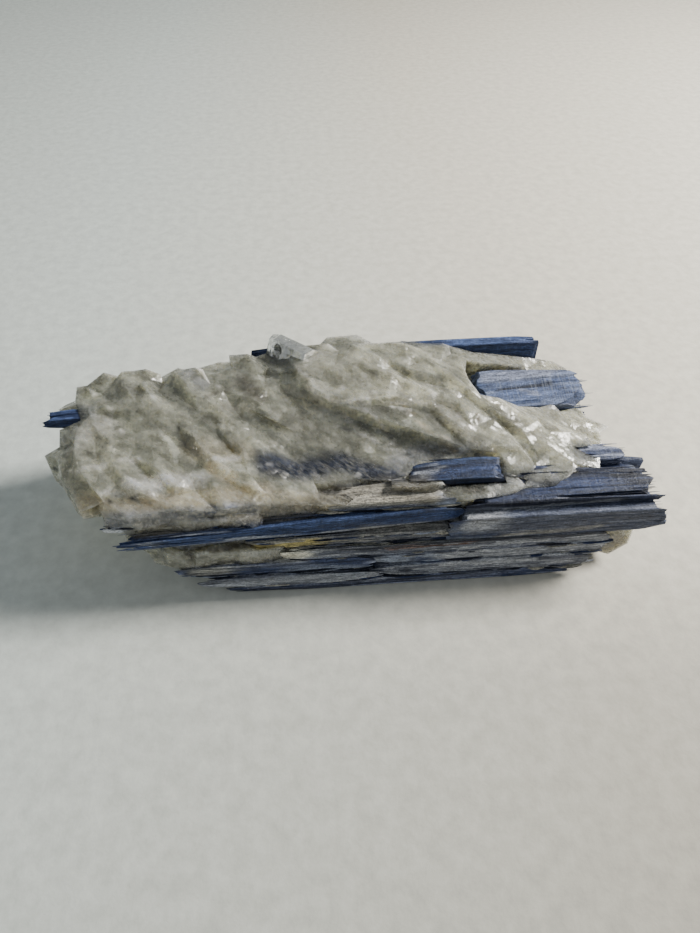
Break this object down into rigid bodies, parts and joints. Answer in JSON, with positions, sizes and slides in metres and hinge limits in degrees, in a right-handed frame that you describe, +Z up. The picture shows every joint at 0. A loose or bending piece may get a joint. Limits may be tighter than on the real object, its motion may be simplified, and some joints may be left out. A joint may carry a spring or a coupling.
{
  "type": "kyanite blade cluster",
  "caption": "Natural mineral specimen: long blue kyanite blades grown side by side in a rough lump of translucent grey quartz, lying on its flat foot.",
  "frame": {"origin": "on the surface it lies on, below the middle of its bounding box", "axes": "+X along the blades towards their square right ends, -Y towards the side that shows the blades, +Z up"},
  "size_m": [0.1436, 0.0552, 0.037],
  "materials": {
    "quartz": "satin",
    "kyanite_navy": "satin",
    "kyanite_blue": "satin",
    "kyanite_pale": "satin",
    "kyanite_grey": "satin"
  },
  "bodies": {
    "root": {"quartz_matrix": "quartz", "bottom_blade": "kyanite_grey", "lens_blade": "kyanite_pale", "pale_lower_blade": "kyanite_pale", "dark_lower_blade": "kyanite_blue", "grey_lower_blade": "kyanite_grey", "blunt_lower_blade": "kyanite_grey", "thin_middle_blade": "kyanite_grey", "long_front_blade": "kyanite_navy", "grey_front_blade": "kyanite_pale", "pale_front_blade": "kyanite_pale", "main_right_blade": "kyanite_grey", "upper_right_front_blade": "kyanite_navy", "window_blade": "kyanite_navy", "small_right_blade": "kyanite_blue", "upper_back_blade": "kyanite_blue", "back_rim_blade": "kyanite_navy", "small_left_blade": "kyanite_navy", "lower_back_blade": "kyanite_grey", "middle_back_blade": "kyanite_blue", "right_back_blade": "kyanite_navy", "left_back_blade": "kyanite_pale"}
  },
  "joints": []
}
